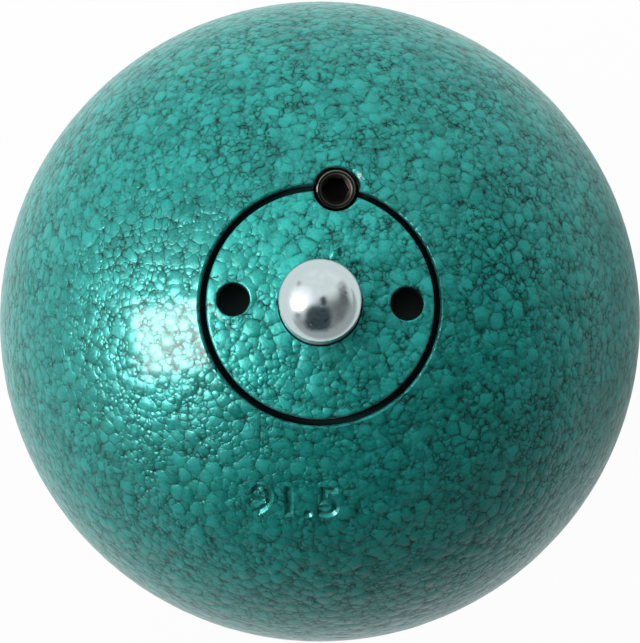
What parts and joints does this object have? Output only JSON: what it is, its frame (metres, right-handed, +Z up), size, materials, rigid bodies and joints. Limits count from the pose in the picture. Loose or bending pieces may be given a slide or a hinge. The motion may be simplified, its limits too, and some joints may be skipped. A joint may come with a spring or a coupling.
{
  "type": "athletics hammer head",
  "caption": "Painted iron throwing hammer head with a screw plug, a lock screw and a chromed ball bearing swivel whose eye takes the wire.",
  "frame": {"origin": "lowest point of the ball, on the swivel's axis", "axes": "+Z up along the swivel's axis, out of the ball through the stud; X through the two spanner holes and along the wire's eye"},
  "size_m": [0.0914, 0.0914, 0.1028],
  "materials": {
    "hammer_paint_iron": "gloss",
    "hammer_paint_steel": "gloss",
    "black_oxide": "satin",
    "chrome": "polished",
    "bearing_steel": "gloss",
    "cage_steel": "satin",
    "bronze": "satin",
    "seal_rubber": "matte"
  },
  "bodies": {
    "head": {"ball_body": "hammer_paint_iron", "screw_plug": "hammer_paint_steel", "lock_screw": "black_oxide", "plug_bush": "bronze", "dust_seal": "seal_rubber", "housing_washer": "bearing_steel"},
    "swivel": {"swivel_stud": "chrome", "shaft_washer": "bearing_steel"},
    "cage": {"bearing_cage": "cage_steel"},
    "ball_01": {"bearing_ball_01": "bearing_steel"},
    "ball_02": {"bearing_ball_02": "bearing_steel"},
    "ball_03": {"bearing_ball_03": "bearing_steel"},
    "ball_04": {"bearing_ball_04": "bearing_steel"},
    "ball_05": {"bearing_ball_05": "bearing_steel"},
    "ball_06": {"bearing_ball_06": "bearing_steel"},
    "ball_07": {"bearing_ball_07": "bearing_steel"},
    "ball_08": {"bearing_ball_08": "bearing_steel"},
    "ball_09": {"bearing_ball_09": "bearing_steel"},
    "ball_10": {"bearing_ball_10": "bearing_steel"},
    "ball_11": {"bearing_ball_11": "bearing_steel"},
    "ball_12": {"bearing_ball_12": "bearing_steel"}
  },
  "joints": [
    {"name": "swivel_spin", "type": "hinge", "parent": "head", "child": "swivel", "pos_m": [0, 0, 0.0689], "axis": [0, 0, 1], "continuous": true},
    {"name": "cage_orbit", "type": "hinge", "parent": "head", "child": "cage", "pos_m": [0, 0, 0.0689], "axis": [0, 0, 1], "continuous": true},
    {"name": "ball_01_roll", "type": "hinge", "parent": "cage", "child": "ball_01", "pos_m": [0.0095, 0, 0.0689], "axis": [1, 0, 0], "continuous": true},
    {"name": "ball_02_roll", "type": "hinge", "parent": "cage", "child": "ball_02", "pos_m": [0.00823, 0.00475, 0.0689], "axis": [0.866, 0.5, 0], "continuous": true},
    {"name": "ball_03_roll", "type": "hinge", "parent": "cage", "child": "ball_03", "pos_m": [0.00475, 0.00823, 0.0689], "axis": [0.5, 0.866, 0], "continuous": true},
    {"name": "ball_04_roll", "type": "hinge", "parent": "cage", "child": "ball_04", "pos_m": [0, 0.0095, 0.0689], "axis": [0, 1, 0], "continuous": true},
    {"name": "ball_05_roll", "type": "hinge", "parent": "cage", "child": "ball_05", "pos_m": [-0.00475, 0.00823, 0.0689], "axis": [-0.5, 0.866, 0], "continuous": true},
    {"name": "ball_06_roll", "type": "hinge", "parent": "cage", "child": "ball_06", "pos_m": [-0.00823, 0.00475, 0.0689], "axis": [-0.866, 0.5, 0], "continuous": true},
    {"name": "ball_07_roll", "type": "hinge", "parent": "cage", "child": "ball_07", "pos_m": [-0.0095, 0, 0.0689], "axis": [-1, 0, 0], "continuous": true},
    {"name": "ball_08_roll", "type": "hinge", "parent": "cage", "child": "ball_08", "pos_m": [-0.00823, -0.00475, 0.0689], "axis": [-0.866, -0.5, 0], "continuous": true},
    {"name": "ball_09_roll", "type": "hinge", "parent": "cage", "child": "ball_09", "pos_m": [-0.00475, -0.00823, 0.0689], "axis": [-0.5, -0.866, 0], "continuous": true},
    {"name": "ball_10_roll", "type": "hinge", "parent": "cage", "child": "ball_10", "pos_m": [0, -0.0095, 0.0689], "axis": [0, -1, 0], "continuous": true},
    {"name": "ball_11_roll", "type": "hinge", "parent": "cage", "child": "ball_11", "pos_m": [0.00475, -0.00823, 0.0689], "axis": [0.5, -0.866, 0], "continuous": true},
    {"name": "ball_12_roll", "type": "hinge", "parent": "cage", "child": "ball_12", "pos_m": [0.00823, -0.00475, 0.0689], "axis": [0.866, -0.5, 0], "continuous": true}
  ],
  "couplings": [
    {"joint": "cage_orbit", "follows": "swivel_spin", "ratio": 0.5},
    {"joint": "ball_01_roll", "follows": "swivel_spin", "ratio": 2.7143},
    {"joint": "ball_02_roll", "follows": "swivel_spin", "ratio": 2.7143},
    {"joint": "ball_03_roll", "follows": "swivel_spin", "ratio": 2.7143},
    {"joint": "ball_04_roll", "follows": "swivel_spin", "ratio": 2.7143},
    {"joint": "ball_05_roll", "follows": "swivel_spin", "ratio": 2.7143},
    {"joint": "ball_06_roll", "follows": "swivel_spin", "ratio": 2.7143},
    {"joint": "ball_07_roll", "follows": "swivel_spin", "ratio": 2.7143},
    {"joint": "ball_08_roll", "follows": "swivel_spin", "ratio": 2.7143},
    {"joint": "ball_09_roll", "follows": "swivel_spin", "ratio": 2.7143},
    {"joint": "ball_10_roll", "follows": "swivel_spin", "ratio": 2.7143},
    {"joint": "ball_11_roll", "follows": "swivel_spin", "ratio": 2.7143},
    {"joint": "ball_12_roll", "follows": "swivel_spin", "ratio": 2.7143}
  ]
}
